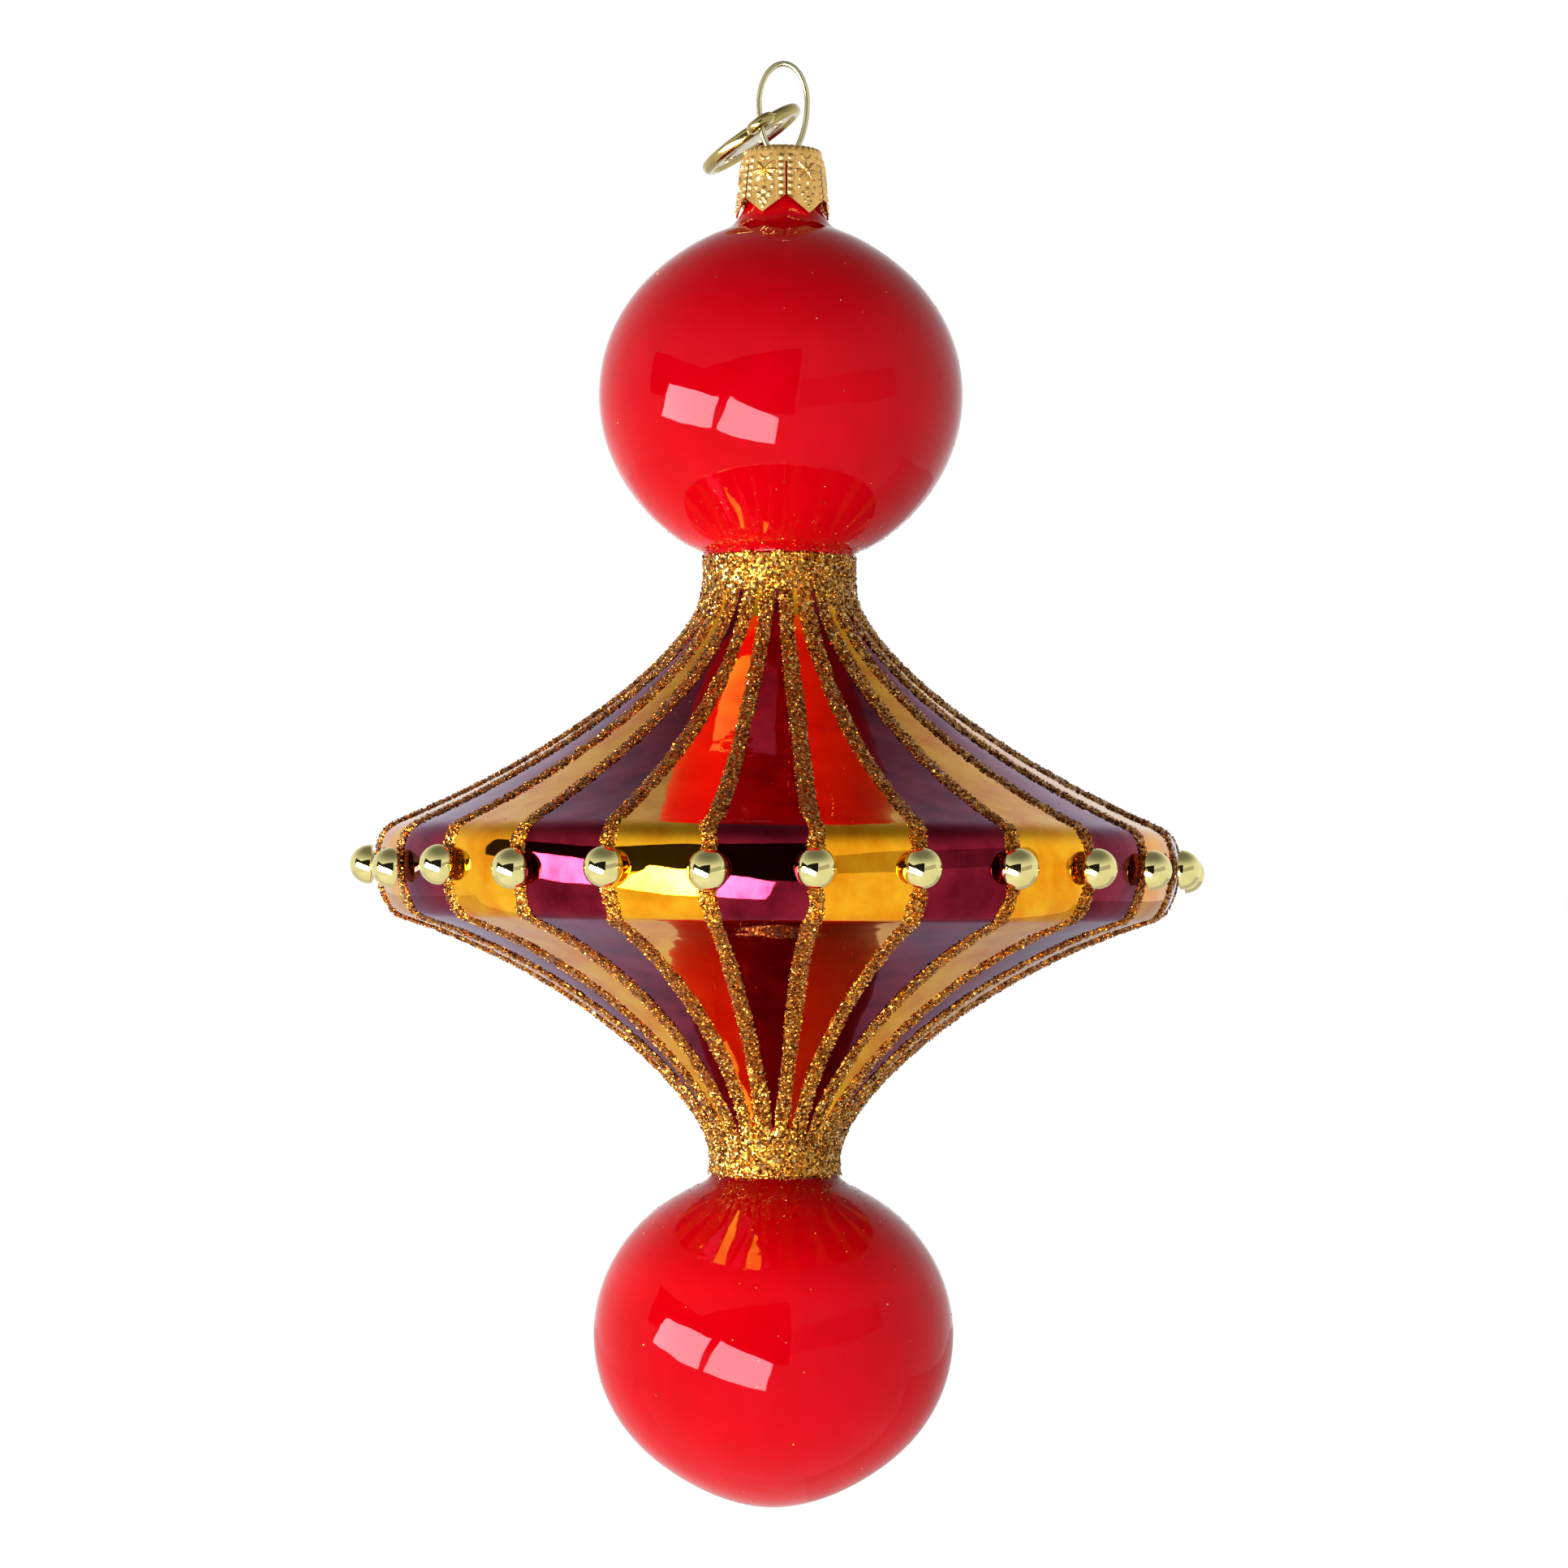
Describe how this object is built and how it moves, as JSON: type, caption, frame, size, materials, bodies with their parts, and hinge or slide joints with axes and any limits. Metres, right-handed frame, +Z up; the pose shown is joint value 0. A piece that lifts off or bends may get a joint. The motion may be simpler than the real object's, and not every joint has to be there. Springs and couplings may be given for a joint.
{
  "type": "glass christmas ornament",
  "caption": "Blown glass drop ornament: red ball, double cone with amber and plum panels, glitter lines and a bead rim, red ball below, stamped cap with wire loop and round tag.",
  "frame": {"origin": "the hanging point, on the inside of the top of the wire loop, on the ornament's axis", "axes": "+Z up along the ornament's axis; +X along the width of the wire loop; the front faces -Y"},
  "size_m": [0.1062, 0.1058, 0.1801],
  "materials": {
    "lacquered_glass": "blown glass, silvered inside, glossy red lacquer with amber and plum panels",
    "gold_glitter": "coarse gold and copper glitter flakes in clear glue",
    "bead_gold": "vacuum-metallised pale gold, mirror gloss",
    "cap_gold": "embossed thin sheet, bright warm gold plating",
    "wire_gold": "drawn wire, pale gold plating",
    "tag_gold": "die-cast, polished rim and satin recessed faces, pale gold plating"
  },
  "bodies": {
    "hanger": {"hanger": "wire_gold"},
    "cap": {"cap": "cap_gold"},
    "glass": {"glass_body": "lacquered_glass", "upper_glitter_collar": "gold_glitter", "lower_glitter_collar": "gold_glitter", "glitter_line_01": "gold_glitter", "glitter_line_02": "gold_glitter", "glitter_line_03": "gold_glitter", "glitter_line_04": "gold_glitter", "glitter_line_05": "gold_glitter", "glitter_line_06": "gold_glitter", "glitter_line_07": "gold_glitter", "glitter_line_08": "gold_glitter", "glitter_line_09": "gold_glitter", "glitter_line_10": "gold_glitter", "glitter_line_11": "gold_glitter", "glitter_line_12": "gold_glitter", "glitter_line_13": "gold_glitter", "glitter_line_14": "gold_glitter", "glitter_line_15": "gold_glitter", "glitter_line_16": "gold_glitter", "glitter_line_17": "gold_glitter", "glitter_line_18": "gold_glitter", "glitter_line_19": "gold_glitter", "glitter_line_20": "gold_glitter", "glitter_line_21": "gold_glitter", "glitter_line_22": "gold_glitter", "glitter_line_23": "gold_glitter", "glitter_line_24": "gold_glitter", "glitter_line_25": "gold_glitter", "glitter_line_26": "gold_glitter", "bead_01": "bead_gold", "bead_02": "bead_gold", "bead_03": "bead_gold", "bead_04": "bead_gold", "bead_05": "bead_gold", "bead_06": "bead_gold", "bead_07": "bead_gold", "bead_08": "bead_gold", "bead_09": "bead_gold", "bead_10": "bead_gold", "bead_11": "bead_gold", "bead_12": "bead_gold", "bead_13": "bead_gold", "bead_14": "bead_gold", "bead_15": "bead_gold", "bead_16": "bead_gold", "bead_17": "bead_gold", "bead_18": "bead_gold", "bead_19": "bead_gold", "bead_20": "bead_gold", "bead_21": "bead_gold", "bead_22": "bead_gold", "bead_23": "bead_gold", "bead_24": "bead_gold", "bead_25": "bead_gold", "bead_26": "bead_gold"},
    "tag": {"tag": "tag_gold"}
  },
  "joints": [
    {"name": "cap_rock", "type": "hinge", "parent": "hanger", "child": "cap", "pos_m": [0, 0, -0.01063], "axis": [1, 0, 0], "range_deg": [-4, 4]},
    {"name": "glass_pull", "type": "slide", "parent": "cap", "child": "glass", "axis": [0, 0, -1], "range_m": [0, 0.018]},
    {"name": "tag_swing", "type": "hinge", "parent": "hanger", "child": "tag", "pos_m": [-0.00279, 0, -0.0071], "axis": [-0.1704, 0, 0.9854], "range_deg": [-25, 185]}
  ]
}
